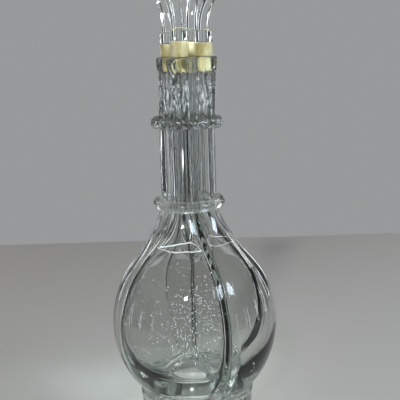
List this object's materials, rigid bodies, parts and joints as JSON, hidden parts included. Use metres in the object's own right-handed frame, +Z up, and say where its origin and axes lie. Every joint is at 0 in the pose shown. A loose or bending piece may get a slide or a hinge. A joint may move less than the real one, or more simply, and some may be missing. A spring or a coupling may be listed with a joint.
{
  "type": "four-chamber decanter",
  "caption": "Clear glass decanter whose round bulb is divided into separate chambers, each with its own neck and a stopper with a curved glass finial.",
  "frame": {"origin": "middle of the foot's underside, on the axis of the bulb", "axes": "+Z up; the glass walls between the chambers lie on the planes X = 0 and Y = 0, so the chambers and necks stand on the diagonals"},
  "size_m": [0.1176, 0.1176, 0.3],
  "materials": {
    "clear_glass": "polished",
    "aged_plastic": "satin"
  },
  "bodies": {
    "decanter": {"chamber_back_right": "clear_glass", "chamber_back_left": "clear_glass", "chamber_front_left": "clear_glass", "chamber_front_right": "clear_glass", "ring_lower": "clear_glass", "ring_upper": "clear_glass", "foot": "clear_glass"},
    "stopper_back_right": {"plug_back_right": "aged_plastic"},
    "grip_back_right": {"finial_back_right": "clear_glass"},
    "stopper_back_left": {"plug_back_left": "aged_plastic"},
    "grip_back_left": {"finial_back_left": "clear_glass"},
    "stopper_front_left": {"plug_front_left": "aged_plastic"},
    "grip_front_left": {"finial_front_left": "clear_glass"},
    "stopper_front_right": {"plug_front_right": "aged_plastic"},
    "grip_front_right": {"finial_front_right": "clear_glass"}
  },
  "joints": [
    {"name": "lift_back_right", "type": "slide", "parent": "decanter", "child": "stopper_back_right", "axis": [0, 0, 1], "range_m": [0, 0.04]},
    {"name": "twist_back_right", "type": "hinge", "parent": "stopper_back_right", "child": "grip_back_right", "pos_m": [0.00884, 0.00884, 0.26], "axis": [0, 0, 1], "continuous": true},
    {"name": "lift_back_left", "type": "slide", "parent": "decanter", "child": "stopper_back_left", "axis": [0, 0, 1], "range_m": [0, 0.04]},
    {"name": "twist_back_left", "type": "hinge", "parent": "stopper_back_left", "child": "grip_back_left", "pos_m": [-0.00884, 0.00884, 0.26], "axis": [0, 0, 1], "continuous": true},
    {"name": "lift_front_left", "type": "slide", "parent": "decanter", "child": "stopper_front_left", "axis": [0, 0, 1], "range_m": [0, 0.04]},
    {"name": "twist_front_left", "type": "hinge", "parent": "stopper_front_left", "child": "grip_front_left", "pos_m": [-0.00884, -0.00884, 0.26], "axis": [0, 0, 1], "continuous": true},
    {"name": "lift_front_right", "type": "slide", "parent": "decanter", "child": "stopper_front_right", "axis": [0, 0, 1], "range_m": [0, 0.04]},
    {"name": "twist_front_right", "type": "hinge", "parent": "stopper_front_right", "child": "grip_front_right", "pos_m": [0.00884, -0.00884, 0.26], "axis": [0, 0, 1], "continuous": true}
  ]
}
